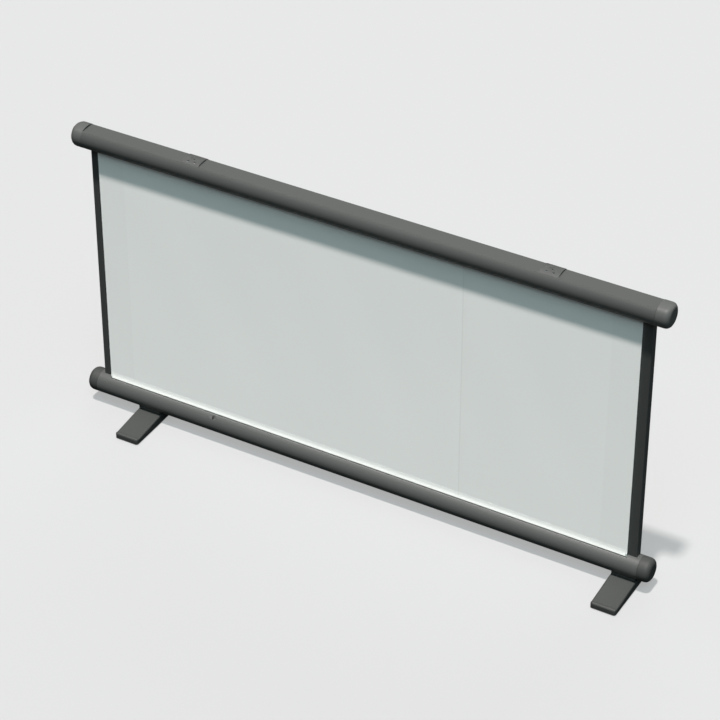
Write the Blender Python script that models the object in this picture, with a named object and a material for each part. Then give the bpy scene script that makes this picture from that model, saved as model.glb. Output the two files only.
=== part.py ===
"""Free-standing roll-down projector screen: a spring roller in a round casing, carried by two posts
on a round base tube with two swivelling feet. X runs along the tubes, Y from front to back, Z up."""

import bpy
import bmesh
from math import acos, asin, atan2, ceil, cos, pi, radians, sin, sqrt

# Overall sizes, in metres
SCREEN_LENGTH = 1.504
AXIS_RISE = 0.691
CASING_RADIUS = 0.030
BASE_RADIUS = 0.029
TUBE_WALL = 0.002
CAP_LENGTH = 0.032
BASE_CAP_LENGTH = 0.029

# Clearance between pieces that touch, and how far a cut runs past what it cuts
FIT = 0.0003
OVERRUN = 0.004

# The casing's flat crown, the low dome of its caps and saddles over it, and the crown's hook rail
CASING_FLAT_DEPTH = 0.0085
DOME_RISE = 0.0045
RAIL_SETBACK = 0.0018
RAIL_HEIGHT = 0.003
RAIL_UNDERCUT = 0.0018
RAIL_GROOVE_HEIGHT = 0.0024

# The lipped channel under the base tube, for the feet
BASE_FLAT_DEPTH = 0.0088
BASE_LIP_REACH = 0.003
BASE_LIP = 0.0014
BASE_CHANNEL_DEPTH = 0.003

# Screw ports inside the casing
PORT_BORE = 0.0016
PORT_WALL = 0.0019
PORT_INSET = 0.0032
PORT_ANGLES = (radians(-20), radians(200))
PORT_MOUTH = radians(30)

# Sheet, roller and spring
FABRIC_INSET = 0.032
FABRIC_THICKNESS = 0.0004
ROLLER_RADIUS = 0.0085
ROLLER_WALL = 0.001
ROLLER_OVERHANG = 0.004
WRAPS_THICKNESS = 0.001
MANDREL_RADIUS = 0.003
MANDREL_LENGTH = 0.290
MANDREL_COLLAR_RADIUS = 0.0045
MANDREL_COLLAR_LENGTH = 0.006
TANG_THICKNESS = 0.003
TANG_LENGTH = 0.006
SPRING_RADIUS = 0.0055
SPRING_WIRE_RADIUS = 0.0008
SPRING_TURNS = 12
BUSH_LENGTH = 0.012
DRIVER_LENGTH = 0.018
PLUG_LENGTH = 0.020
PIN_END = 0.004

# End plates, with the cap's tongue over them
PLATE_THICKNESS = 0.002
PLATE_MARGIN = 0.0005
PLATE_BORE = 0.0055
BUSH_FLANGE = 0.002
CAP_WALL = 0.0022
CAP_ROUNDING = 0.013
TONGUE_WIDTH = 0.020
TONGUE_THICKNESS = 0.003
TONGUE_REACH = 0.006

# Hem bar, its slot and its cushion
SLOT_FRONT_GAP = 0.0003
HEM_FRONT_STEP = 0.0036
HEM_THICKNESS = 0.0056
HEM_BEVEL_RISE = 0.0068
HEM_GROOVE_DEPTH = 0.006
HEM_CROWN = 0.0007
HEM_NOTCH_DEPTH = 0.0012
HEM_NOTCH_HEIGHT = 0.0024
HEM_NOTCH_RISE = 0.003
HEM_PLUG_LENGTH = 0.003
CUSHION_THICKNESS = 0.0015
WEB_TOP = 0.0045
WEB_THICKNESS = 0.0016

# Posts and their anchors
POST_WIDTH = 0.025
POST_DEPTH = 0.020
POST_WALL = 0.0015
POST_SHOW = 0.022
POST_SETBACK = 0.0052
POST_INSERT = 0.0105
ANCHOR_WALL = 0.0022

# Saddles
SADDLE_LENGTH = 0.046
SADDLE_LEFT_GAP = 0.2665
SADDLE_RIGHT_GAP = 0.229
SADDLE_SPOT_RADIUS = 0.007
SADDLE_SPOT_DEPTH = 0.0008
SADDLE_THREAD_RADIUS = 0.0021
GRUB_RADIUS = 0.002
GRUB_SPACING = 0.017
GRUB_Y = -0.0125
GRUB_SUNK = 0.0005

# Catch
CATCH_INSET = 0.3275
CATCH_RADIUS_SHARE = 0.47
CATCH_COLLAR_SHARE = 0.61
CATCH_COLLAR_HEIGHT = 0.0012
CATCH_SUNK = 0.0005
CATCH_NOSE_HEIGHT = 0.0010
CATCH_NOSE_WIDTH = 0.003
CATCH_SPRING_RADIUS = 0.002
CATCH_SPRING_WIRE = 0.0003
CATCH_SPRING_TURNS = 5
CATCH_PEG_RADIUS = 0.0012
CATCH_PEG_LENGTH = 0.0016
DIMPLE_RADIUS = 0.040
DIMPLE_REACH = 0.012
DIMPLE_DEPTH = 0.0012

# Feet
FOOT_LEFT_GAP = 0.116
FOOT_RIGHT_GAP = 0.005
FOOT_FRONT = 0.124
FOOT_REAR = 0.060
FOOT_WIDTH = 0.063
FOOT_CORNER = 0.006
FOOT_HUB_HEIGHT = 0.0238
FOOT_TIP_HEIGHT = 0.0155
FOOT_HUB_LENGTH = 0.048
FOOT_ROLL_RADIUS = 0.005
FOOT_ROLL_RISE = 0.0012
FOOT_ROLL_LENGTH = 0.010
FOOT_DISH_INSET = 0.004
FOOT_DISH_DEPTH = 0.0012
FOOT_SHOULDER = 0.004
FOOT_WALL = 0.0035
FOOT_POCKET_CEILING = 0.0095
FOOT_RIB = 0.003
BLOCK_LENGTH = 0.058
BLOCK_HEIGHT = 0.0078
NUT_LENGTH = 0.040
WASHER_RADIUS = 0.016
WASHER_THICKNESS = 0.001
BOLT_RADIUS = 0.004
BOLT_HEAD_RADIUS = 0.0075
BOLT_HEAD_HEIGHT = 0.004
BOLT_SOCKET_RADIUS = 0.0025
PAD_STAND = 0.002
PAD_SEAT = 0.001
PAD_DEPTH = 0.014
PAD_WIDTH = 0.040
PAD_CORNER = 0.004
PAD_INSET = 0.006

# Small screws
SCREW_RADIUS = 0.0015
SCREW_HEAD_RADIUS = 0.0025
SCREW_HEAD_HEIGHT = 0.0016
SCREW_REACH = 0.0075
POST_SCREW_ANGLE_TOP = radians(-45)
POST_SCREW_ANGLE_BASE = radians(25)

# Fineness of round work
ROUND_STEPS = 36
ROLLER_STEPS = 20
SMALL_STEPS = 16
SCREW_STEPS = 12
GRUB_STEPS = 8
HEX_SIDES = 6
COIL_STEPS = 10
COIL_SIDES = 4
CORNER_STEPS = 3
SAG_STEPS = 3
ARC_STEP = radians(6)
CAP_ARC_STEP = radians(18)
SHOULDER_STEP = radians(30)
HOLLOW_ARC_STEP = radians(45)
DISH_STEP = radians(5)
SMOOTH_ANGLE = radians(35)
MERGE_DISTANCE = 0.000001

# Places that follow from the sizes
TUBE_HALF = SCREEN_LENGTH / 2 - CAP_LENGTH
CASING_CHORD = CASING_RADIUS - CASING_FLAT_DEPTH
BASE_CHORD = BASE_RADIUS - BASE_FLAT_DEPTH
DOME_SHARE = DOME_RISE / CASING_FLAT_DEPTH
CROWN_HALF = sqrt(CASING_RADIUS ** 2 - CASING_CHORD ** 2)
BASE_CHANNEL_HALF = sqrt(BASE_RADIUS ** 2 - BASE_CHORD ** 2)
CASING_BORE = CASING_RADIUS - TUBE_WALL
BASE_BORE = BASE_RADIUS - TUBE_WALL
CASING_CEILING = CASING_CHORD - TUBE_WALL
RAIL_BACK = CROWN_HALF - RAIL_SETBACK
RAIL_LOW = CASING_CHORD - RAIL_HEIGHT
GROOVE_BACK = RAIL_BACK - RAIL_UNDERCUT
GROOVE_LOW = RAIL_LOW - RAIL_GROOVE_HEIGHT
BASE_FLOOR = BASE_CHORD - BASE_LIP - BASE_CHANNEL_DEPTH
BASE_CEILING = BASE_FLOOR - TUBE_WALL
FABRIC_HALF = TUBE_HALF - FABRIC_INSET
ROLLER_HALF = FABRIC_HALF + ROLLER_OVERHANG
WRAPS_RADIUS = ROLLER_RADIUS + FIT + WRAPS_THICKNESS
FABRIC_BACK = -(WRAPS_RADIUS + FIT)
FABRIC_FRONT = FABRIC_BACK - FABRIC_THICKNESS
HEM_FRONT = FABRIC_FRONT - HEM_FRONT_STEP
HEM_BACK = HEM_FRONT + HEM_THICKNESS
SLOT_FRONT = HEM_FRONT - SLOT_FRONT_GAP
SLOT_BACK = HEM_BACK + SLOT_FRONT_GAP
HEM_SHOULDER = sqrt(BASE_RADIUS ** 2 - SLOT_FRONT ** 2) + FIT
HEM_TOP = HEM_SHOULDER + HEM_BEVEL_RISE
HEM_BOTTOM = WEB_TOP + FIT + CUSHION_THICKNESS + FIT
POST_X = FABRIC_HALF + POST_SHOW - POST_WIDTH / 2
POST_FRONT = FABRIC_FRONT + POST_SETBACK
POST_TOP = -CASING_BORE + POST_INSERT
POST_BOTTOM = WEB_TOP + FIT
FLOOR_DROP = BASE_CHORD + FIT + BLOCK_HEIGHT + FIT + WASHER_THICKNESS + FIT + FOOT_HUB_HEIGHT
TUBE_Y = (FOOT_FRONT - FOOT_REAR) / 2
SADDLE_LEFT_X = -TUBE_HALF + SADDLE_LEFT_GAP + SADDLE_LENGTH / 2
SADDLE_RIGHT_X = TUBE_HALF - SADDLE_RIGHT_GAP - SADDLE_LENGTH / 2
FOOT_LEFT_X = -TUBE_HALF + FOOT_LEFT_GAP + BLOCK_LENGTH / 2
FOOT_RIGHT_X = TUBE_HALF - FOOT_RIGHT_GAP - BLOCK_LENGTH / 2
CATCH_X = -TUBE_HALF + CATCH_INSET
CATCH_Y = (HEM_FRONT - BASE_BORE) / 2
CATCH_ROOM = (HEM_FRONT + BASE_BORE) / 2
CATCH_RADIUS = CATCH_ROOM * CATCH_RADIUS_SHARE
CATCH_COLLAR_RADIUS = CATCH_ROOM * CATCH_COLLAR_SHARE


def clear_scene():
    for thing in list(bpy.data.objects):
        bpy.data.objects.remove(thing, do_unlink=True)


def material(name, colour, roughness, metallic=0.0):
    """A plain finish: linear colour, roughness and metallic value."""
    look = bpy.data.materials.new(name)
    look.use_nodes = True
    shader = look.node_tree.nodes["Principled BSDF"]
    shader.inputs["Base Color"].default_value = (*colour, 1)
    shader.inputs["Roughness"].default_value = roughness
    shader.inputs["Metallic"].default_value = metallic
    look.diffuse_color = (*colour, 1)
    return look


def along(axis, main, first, second):
    """A point given by its place along an axis and its two places across it."""
    if axis == "X":
        return (main, first, second)
    if axis == "Y":
        return (second, main, first)
    return (first, second, main)


def prism(loops, start, end, axis="X"):
    """A straight extrusion: the first outline is the outside, any others are its hollows."""
    mesh = bmesh.new()
    for loop in loops:
        rim = [mesh.verts.new(along(axis, start, *point)) for point in loop]
        if len(loops) == 1:
            mesh.faces.new(rim)
        else:
            for first, second in zip(rim, rim[1:] + rim[:1]):
                mesh.edges.new((first, second))
    if len(loops) > 1:
        bmesh.ops.triangle_fill(mesh, edges=mesh.edges[:], use_beauty=True)
    pushed = bmesh.ops.extrude_face_region(mesh, geom=mesh.faces[:])
    moved = [item for item in pushed["geom"] if isinstance(item, bmesh.types.BMVert)]
    bmesh.ops.translate(mesh, verts=moved, vec=along(axis, end - start, 0, 0))
    bmesh.ops.recalc_face_normals(mesh, faces=mesh.faces[:])
    return mesh


def turned(profile, axis="X", steps=SMALL_STEPS, ring=False):
    """A turned solid from (along, radius) points; a ring's profile closes on itself, off the axis."""
    mesh = bmesh.new()
    points = [mesh.verts.new(along(axis, place, radius, 0)) for place, radius in profile]
    lines = [mesh.edges.new(pair) for pair in zip(points, points[1:])]
    if ring:
        lines.append(mesh.edges.new((points[-1], points[0])))
    bmesh.ops.spin(
        mesh, geom=points + lines, cent=(0, 0, 0), axis=along(axis, 1, 0, 0),
        angle=2 * pi, steps=steps, use_merge=True,
    )
    bmesh.ops.remove_doubles(mesh, verts=mesh.verts[:], dist=MERGE_DISTANCE)
    bmesh.ops.recalc_face_normals(mesh, faces=mesh.faces[:])
    return mesh


def ring_profile(start, end, inner, outer):
    return [(start, inner), (end, inner), (end, outer), (start, outer)]


def rod_profile(*steps):
    """A stepped rod's profile from (start, end, radius) lengths in a row."""
    points = [(steps[0][0], 0)]
    for start, end, radius in steps:
        points += [(start, radius), (end, radius)]
    return points + [(steps[-1][1], 0)]


def rectangle(low_u, high_u, low_v, high_v):
    return [(low_u, low_v), (high_u, low_v), (high_u, high_v), (low_u, high_v)]


def rounded_rectangle(low_u, high_u, low_v, high_v, radius):
    """A rectangle with round corners, counter-clockwise."""
    corners = (
        (high_u - radius, high_v - radius, 0), (low_u + radius, high_v - radius, 1),
        (low_u + radius, low_v + radius, 2), (high_u - radius, low_v + radius, 3),
    )
    points = []
    for u, v, quarter in corners:
        for step in range(CORNER_STEPS + 1):
            turn = (quarter + step / CORNER_STEPS) * pi / 2
            points.append((u + radius * cos(turn), v + radius * sin(turn)))
    return points


def arc(radius, start, end, centre=(0, 0), step=ARC_STEP):
    """Points along an arc, both ends included."""
    count = max(1, ceil(abs(end - start) / step))
    turns = [start + (end - start) * i / count for i in range(count + 1)]
    return [(centre[0] + radius * cos(turn), centre[1] + radius * sin(turn)) for turn in turns]


def on_circle(radius, across, side=1):
    """The height at which a circle passes a place across it, above its centre or below."""
    return side * sqrt(radius ** 2 - across ** 2)


def domed(height):
    """A height on the round casing, brought down to the low dome where it is above the crown."""
    return min(height, CASING_CHORD + (height - CASING_CHORD) * DOME_SHARE)


def side_name(side):
    return "right" if side > 0 else "left"


def empty(name, parent=None, at=(0, 0, 0)):
    frame = bpy.data.objects.new(name, None)
    frame.location = at
    frame.parent = parent
    bpy.context.collection.objects.link(frame)
    return frame


def piece(name, mesh, look, parent, at=(0, 0, 0), turn=(0, 0, 0)):
    """One sub-part: a mesh with its finish, placed under its parent."""
    data = bpy.data.meshes.new(name)
    mesh.to_mesh(data)
    mesh.free()
    data.materials.append(look)
    data.shade_smooth()
    data.set_sharp_from_angle(angle=SMOOTH_ANGLE)
    thing = bpy.data.objects.new(name, data)
    thing.location = at
    thing.rotation_euler = turn
    thing.parent = parent
    bpy.context.collection.objects.link(thing)
    return thing


def cut(thing, mesh, at=None, turn=(0, 0, 0), operation="DIFFERENCE"):
    """Cuts a shape out of a piece, or joins it on, by a hidden helper object."""
    data = bpy.data.meshes.new(thing.name + "_tool")
    mesh.to_mesh(data)
    mesh.free()
    tool = bpy.data.objects.new(data.name, data)
    tool.location = thing.location if at is None else at
    tool.rotation_euler = turn
    tool.parent = thing.parent
    tool.hide_render = True
    tool.display_type = "WIRE"
    bpy.context.collection.objects.link(tool)
    change = thing.modifiers.new(operation.lower(), "BOOLEAN")
    change.operation = operation
    change.solver = "EXACT"
    change.object = tool


def screw_port(angle):
    """A C-shaped screw port on the casing's bore, in order of rising angle round the bore."""
    reach = CASING_BORE - PORT_INSET
    outer = PORT_BORE + PORT_WALL
    centre = (reach * cos(angle), reach * sin(angle))
    root = acos((CASING_BORE ** 2 - reach ** 2 - outer ** 2) / (2 * reach * outer))
    mouth = pi - PORT_MOUTH
    down = arc(outer, angle - root, angle - mouth, centre, SHOULDER_STEP)
    round_bore = arc(PORT_BORE, angle - mouth, angle + mouth, centre, SHOULDER_STEP)
    up = arc(outer, angle + mouth, angle + root, centre, SHOULDER_STEP)
    return down + round_bore + up


def port_root(angle, side):
    """The angle round the bore at which a port's outside meets the bore."""
    reach = CASING_BORE - PORT_INSET
    outer = PORT_BORE + PORT_WALL
    half = acos((reach ** 2 + CASING_BORE ** 2 - outer ** 2) / (2 * reach * CASING_BORE))
    return angle + side * half


def casing_outline():
    """The casing's section: an open ring, slit for the sheet, with a flat crown, its rail and ports."""
    slit_back = atan2(on_circle(CASING_RADIUS, SLOT_BACK, -1), SLOT_BACK)
    slit_front = atan2(on_circle(CASING_RADIUS, SLOT_FRONT, -1), SLOT_FRONT) + 2 * pi
    outside = arc(CASING_RADIUS, slit_back, asin(GROOVE_LOW / CASING_RADIUS))
    outside += [(GROOVE_BACK, GROOVE_LOW), (GROOVE_BACK, RAIL_LOW), (RAIL_BACK, RAIL_LOW)]
    outside.append((RAIL_BACK, CASING_CHORD))
    outside += arc(CASING_RADIUS, pi - asin(CASING_CHORD / CASING_RADIUS), slit_front)
    bore_back = atan2(on_circle(CASING_BORE, SLOT_BACK, -1), SLOT_BACK)
    bore_front = atan2(on_circle(CASING_BORE, SLOT_FRONT, -1), SLOT_FRONT) + 2 * pi
    low_ceiling = GROOVE_LOW - TUBE_WALL
    step = GROOVE_BACK - TUBE_WALL
    back_port, front_port = PORT_ANGLES
    inside = arc(CASING_BORE, bore_back, port_root(back_port, -1))[:-1] + screw_port(back_port)
    inside += arc(CASING_BORE, port_root(back_port, 1), asin(low_ceiling / CASING_BORE))[1:]
    inside += [(step, low_ceiling), (step, CASING_CEILING)]
    roof = pi - asin(CASING_CEILING / CASING_BORE)
    inside += arc(CASING_BORE, roof, port_root(front_port, -1))[:-1] + screw_port(front_port)
    inside += arc(CASING_BORE, port_root(front_port, 1), bore_front)[1:]
    return outside + inside[::-1]


def base_channel():
    """The lipped channel's outline under the base tube, from its back lip to its front lip."""
    mouth = BASE_CHANNEL_HALF - BASE_LIP_REACH
    under = BASE_CHORD - BASE_LIP
    half = BASE_CHANNEL_HALF
    back = [(mouth, -BASE_CHORD), (mouth, -under), (half, -under), (half, -BASE_FLOOR)]
    return back + [(-y, z) for y, z in reversed(back)]


def base_outlines():
    """The base tube's section: channel downwards, and a web that makes two chambers."""
    lip = asin(BASE_CHORD / BASE_RADIUS)
    outside = base_channel() + arc(BASE_RADIUS, lip - pi, -2 * pi - lip)
    web_top = asin(WEB_TOP / BASE_BORE)
    upper = arc(BASE_BORE, web_top, pi - web_top)
    web_bottom = asin((WEB_TOP - WEB_THICKNESS) / BASE_BORE)
    roof = asin(BASE_CEILING / BASE_BORE)
    lower = arc(BASE_BORE, pi - web_bottom, pi + roof) + arc(BASE_BORE, -roof, web_bottom)
    return [outside, upper, lower]


def post_hole(low, high):
    """The cut that lets a post through a wall, at a post centred on X = 0."""
    half = POST_WIDTH / 2 + FIT
    outline = rectangle(-half, half, POST_FRONT - FIT, POST_FRONT + POST_DEPTH + FIT)
    return prism([outline], low, high, "Z")


def screw_hole(radius, angle):
    """A radial clearance hole for a post screw, at X = 0."""
    depth = SCREW_REACH + FIT
    hole = turned(rod_profile((radius - depth, radius + OVERRUN, SCREW_RADIUS + FIT)), "Y")
    return hole, (angle, 0, 0)


def make_casing(frame, looks):
    casing = piece("casing", prism([casing_outline()], -TUBE_HALF, TUBE_HALF), looks["grey"], frame)
    for side in (-1, 1):
        wall = post_hole(-CASING_RADIUS - OVERRUN, POST_TOP)
        cut(casing, wall, at=(side * POST_X, 0, 0))
        hole, turn = screw_hole(CASING_RADIUS, POST_SCREW_ANGLE_TOP)
        cut(casing, hole, at=(side * POST_X, 0, 0), turn=turn)


def make_base_tube(frame, looks):
    tube = piece("base_tube", prism(base_outlines(), -TUBE_HALF, TUBE_HALF), looks["grey"], frame)
    slot_low = on_circle(BASE_BORE, SLOT_FRONT) - OVERRUN
    slot = rectangle(SLOT_FRONT, SLOT_BACK, slot_low, BASE_RADIUS + OVERRUN)
    half = FABRIC_HALF + FIT
    cut(tube, prism([slot], -half, half))
    for side in (-1, 1):
        cut(tube, post_hole(POST_BOTTOM, BASE_RADIUS + OVERRUN), at=(side * POST_X, 0, 0))
        hole, turn = screw_hole(BASE_RADIUS, POST_SCREW_ANGLE_BASE)
        cut(tube, hole, at=(side * POST_X, 0, 0), turn=turn)
    make_dimple(tube)


def make_dimple(tube):
    """A shallow finger dish in the base tube, and the catch button's hole through it."""
    top = BASE_RADIUS + OVERRUN
    centre = (BASE_RADIUS - DIMPLE_DEPTH + DIMPLE_RADIUS, 0)
    rim = pi - asin(DIMPLE_REACH / DIMPLE_RADIUS)
    profile = arc(DIMPLE_RADIUS, pi, rim, centre, DISH_STEP)
    dish = turned(profile + [(top, DIMPLE_REACH), (top, 0)], "Z", ROLLER_STEPS)
    cut(tube, dish, at=(CATCH_X, 0, 0), turn=(asin(-CATCH_Y / BASE_RADIUS), 0, 0))
    hole = turned(rod_profile((WEB_TOP + FIT, top, CATCH_RADIUS + FIT)), "Z")
    cut(tube, hole, at=(CATCH_X, CATCH_Y, 0))


def cap_shell(radius, length):
    """The profile of a hollow domed cap turned about X, from its inside's centre to its dome's."""
    inner = radius - CAP_WALL
    rounding = CAP_ROUNDING - CAP_WALL
    end = length - CAP_WALL
    inside = arc(rounding, 0, pi / 2, (end - rounding, inner - rounding), HOLLOW_ARC_STEP)
    centre = (length - CAP_ROUNDING, radius - CAP_ROUNDING)
    outside = arc(CAP_ROUNDING, pi / 2, 0, centre, CAP_ARC_STEP)
    return [(end, 0)] + inside + [(FIT, inner), (FIT, radius)] + outside + [(length, 0)]


def cap_wall(radius, low, high):
    """The part of a cap's rim wall, between two heights, that closes it over a channel's end."""
    inner = radius - CAP_WALL / 2
    if high > inner:
        start = asin(low / inner)
        return arc(inner, start, pi - start, step=CAP_ARC_STEP)
    start = asin(high / inner)
    return arc(inner, pi - start, 2 * pi + start, step=CAP_ARC_STEP)


def make_cap(name, frame, look, radius, length, side, tongue_low, wall_low, wall_high, crown=None):
    """A moulded cap with a tongue into the extrusion and an end wall; crown sets its top's heights."""
    turn = (0, 0, 0) if side > 0 else (0, 0, pi)
    shell = turned(cap_shell(radius, length), steps=ROUND_STEPS)
    wall = cap_wall(radius, wall_low, wall_high)
    if crown:
        wall = [(y, crown(z)) for y, z in wall]
        for vert in shell.verts:
            vert.co.z = crown(vert.co.z)
    cap = piece(name, shell, look, frame, at=(side * TUBE_HALF, 0, 0), turn=turn)
    half = TONGUE_WIDTH / 2
    tongue = rectangle(-half, half, tongue_low, tongue_low + TONGUE_THICKNESS)
    cut(cap, prism([tongue], -TONGUE_REACH, length - CAP_WALL / 2), turn=turn, operation="UNION")
    cut(cap, prism([wall], FIT, FIT + CAP_WALL), turn=turn, operation="UNION")


def make_end_plate(side, frame, looks):
    """A steel plate that closes the casing's end and carries the roller, held in the screw ports."""
    name = "end_plate_" + side_name(side)
    radius = CASING_RADIUS - CAP_WALL - PLATE_MARGIN
    top = CASING_CEILING - FIT - TONGUE_THICKNESS - FIT
    flat = asin(top / radius)
    outline = arc(radius, pi - flat, 2 * pi + flat, step=CAP_ARC_STEP)
    low, high = sorted((side * (TUBE_HALF + FIT), side * (TUBE_HALF + FIT + PLATE_THICKNESS)))
    plate = piece(name, prism([outline], low, high), looks["steel"], frame)
    reach = CASING_BORE - PORT_INSET
    for angle in PORT_ANGLES:
        hole = turned(rod_profile((low - OVERRUN, high + OVERRUN, SCREW_RADIUS + FIT)))
        cut(plate, hole, at=(0, reach * cos(angle), reach * sin(angle)))
    if side > 0:
        cut(plate, turned(rod_profile((low - OVERRUN, high + OVERRUN, PLATE_BORE))))
    else:
        half = TANG_THICKNESS / 2 + FIT
        slot = rectangle(-half, half, -MANDREL_RADIUS - FIT, MANDREL_RADIUS + FIT)
        cut(plate, prism([slot], low - OVERRUN, high + OVERRUN))


def screw(name, frame, look, at, turn):
    """A pan-head screw along X, its head's underside at X = 0 and its head towards +X."""
    crown = SCREW_HEAD_HEIGHT / 2
    profile = [
        (-SCREW_REACH, 0), (-SCREW_REACH, SCREW_RADIUS), (0, SCREW_RADIUS), (0, SCREW_HEAD_RADIUS),
        (crown, SCREW_HEAD_RADIUS), (SCREW_HEAD_HEIGHT, SCREW_RADIUS), (SCREW_HEAD_HEIGHT, 0),
    ]
    piece(name, turned(profile, steps=SCREW_STEPS), look, frame, at=at, turn=turn)


def make_end_plate_screws(frame, looks):
    reach = CASING_BORE - PORT_INSET
    count = 0
    for side in (-1, 1):
        for angle in PORT_ANGLES:
            count += 1
            face = side * (TUBE_HALF + FIT + PLATE_THICKNESS + FIT)
            turn = (0, 0, 0) if side > 0 else (0, 0, pi)
            place = (face, reach * cos(angle), reach * sin(angle))
            screw("end_plate_screw_%d" % count, frame, looks["steel"], place, turn)


def make_roller(frame, looks):
    """The roller tube with the turns of sheet that never leave it, and the plugs in its ends."""
    bore = ROLLER_RADIUS - ROLLER_WALL
    tube = ring_profile(-ROLLER_HALF, ROLLER_HALF, bore, ROLLER_RADIUS)
    piece("roller_tube", turned(tube, steps=ROLLER_STEPS, ring=True), looks["aluminium"], frame)
    wraps = ring_profile(-FABRIC_HALF, FABRIC_HALF, ROLLER_RADIUS + FIT, WRAPS_RADIUS)
    piece("fabric_roll", turned(wraps, steps=ROLLER_STEPS, ring=True), looks["fabric"], frame)
    plug_start = ROLLER_HALF - PLUG_LENGTH
    pin_end = TUBE_HALF + PLATE_THICKNESS + BUSH_FLANGE + PIN_END
    plug = rod_profile((plug_start, ROLLER_HALF, bore - FIT), (ROLLER_HALF, pin_end, MANDREL_RADIUS))
    piece("idle_plug", turned(plug), looks["nylon"], frame)
    driver_end = -TUBE_HALF + MANDREL_LENGTH
    driver = ring_profile(driver_end - DRIVER_LENGTH, driver_end, MANDREL_RADIUS + FIT, bore - FIT)
    piece("spring_driver", turned(driver, ring=True), looks["nylon"], frame)
    bush = ring_profile(-ROLLER_HALF, -ROLLER_HALF + BUSH_LENGTH, MANDREL_RADIUS + FIT, bore - FIT)
    piece("roller_bush", turned(bush, ring=True), looks["nylon"], frame)


def make_idle_bush(frame, looks):
    """A flanged bush in the right end plate, in which the roller's idle pin turns."""
    start = TUBE_HALF - BUSH_FLANGE
    end = TUBE_HALF + FIT + PLATE_THICKNESS + BUSH_FLANGE
    bore = MANDREL_RADIUS + FIT
    neck = PLATE_BORE - FIT
    flange = PLATE_BORE + BUSH_FLANGE
    profile = [
        (start, bore), (end, bore), (end, neck), (TUBE_HALF, neck), (TUBE_HALF, flange), (start, flange),
    ]
    piece("idle_bush", turned(profile, ring=True), looks["nylon"], frame)


def mandrel_collar_end():
    return -ROLLER_HALF + BUSH_LENGTH + FIT + MANDREL_COLLAR_LENGTH


def make_mandrel(frame, looks):
    """The fixed steel rod that the spring winds against; its flat tang sits in the left plate."""
    collar_end = mandrel_collar_end()
    collar_start = collar_end - MANDREL_COLLAR_LENGTH
    start = -TUBE_HALF - FIT - PLATE_THICKNESS - TANG_LENGTH / 2
    shoulder = -TUBE_HALF + FIT
    rod = rod_profile(
        (start, collar_start, MANDREL_RADIUS), (collar_start, collar_end, MANDREL_COLLAR_RADIUS),
        (collar_end, -TUBE_HALF + MANDREL_LENGTH, MANDREL_RADIUS),
    )
    mandrel = piece("mandrel", turned(rod), looks["steel"], frame)
    wide = MANDREL_RADIUS + OVERRUN
    for side in (-1, 1):
        low, high = sorted((side * TANG_THICKNESS / 2, side * wide))
        cut(mandrel, prism([rectangle(low, high, -wide, wide)], start - OVERRUN, shoulder))


def helix(start, end, radius, wire, turns, axis, steps=COIL_STEPS, sides=COIL_SIDES):
    """A coil of round wire about an axis, closed at both ends."""
    mesh = bmesh.new()
    rings = []
    count = int(turns * steps)
    for i in range(count + 1):
        turn = 2 * pi * i / steps
        place = start + (end - start) * i / count
        rim = []
        for side in range(sides):
            around = 2 * pi * side / sides
            out = radius + wire * cos(around)
            lift = wire * sin(around)
            rim.append(mesh.verts.new(along(axis, place + lift, out * cos(turn), out * sin(turn))))
        rings.append(rim)
    for first, second in zip(rings, rings[1:]):
        for side in range(sides):
            after = (side + 1) % sides
            mesh.faces.new((first[side], first[after], second[after], second[side]))
    mesh.faces.new(rings[0])
    mesh.faces.new(rings[-1])
    bmesh.ops.recalc_face_normals(mesh, faces=mesh.faces[:])
    return mesh


def make_roller_spring(frame, looks):
    """The torsion spring between the mandrel's collar and the driver in the roller tube."""
    start = mandrel_collar_end() + FIT + SPRING_WIRE_RADIUS
    end = -TUBE_HALF + MANDREL_LENGTH - DRIVER_LENGTH - FIT - SPRING_WIRE_RADIUS
    coil = helix(start, end, SPRING_RADIUS, SPRING_WIRE_RADIUS, SPRING_TURNS, "X")
    piece("roller_spring", coil, looks["steel"], frame)


def make_fabric(frame, looks):
    """The sheet as it hangs: flat, from the roller's front tangent into the hem bar's groove."""
    bottom = -AXIS_RISE + HEM_TOP - HEM_GROOVE_DEPTH + FIT
    half = FABRIC_HALF
    sheet = prism([rectangle(FABRIC_FRONT, FABRIC_BACK, bottom, 0)], -half, half)
    piece("screen_fabric", sheet, looks["fabric"], frame)


def hem_outline():
    """The hem bar's section: a bar with a sloped front shoulder, a groove for the sheet and a notch."""
    groove_front = FABRIC_FRONT - FIT
    groove_back = FABRIC_BACK + FIT
    groove_floor = HEM_TOP - HEM_GROOVE_DEPTH
    notch_low = HEM_BOTTOM + HEM_NOTCH_RISE
    notch_high = notch_low + HEM_NOTCH_HEIGHT
    return [
        (HEM_FRONT, HEM_BOTTOM), (HEM_BACK, HEM_BOTTOM), (HEM_BACK, HEM_TOP - HEM_CROWN),
        (HEM_BACK - HEM_CROWN, HEM_TOP), (groove_back, HEM_TOP), (groove_back, groove_floor),
        (groove_front, groove_floor), (groove_front, HEM_TOP), (groove_front - HEM_CROWN, HEM_TOP),
        (HEM_FRONT, HEM_SHOULDER), (HEM_FRONT, notch_high),
        (HEM_FRONT + HEM_NOTCH_DEPTH, notch_high), (HEM_FRONT + HEM_NOTCH_DEPTH, notch_low),
        (HEM_FRONT, notch_low),
    ]


def make_hem(frame, looks):
    half = FABRIC_HALF - HEM_PLUG_LENGTH - FIT
    piece("hem_bar", prism([hem_outline()], -half, half), looks["white"], frame)
    for side in (-1, 1):
        low, high = sorted((side * (half + FIT), side * (half + FIT + HEM_PLUG_LENGTH)))
        below = HEM_TOP - HEM_GROOVE_DEPTH
        outline = rectangle(HEM_FRONT, HEM_BACK, HEM_BOTTOM, below)
        piece("hem_plug_" + side_name(side), prism([outline], low, high), looks["white"], frame)


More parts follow.
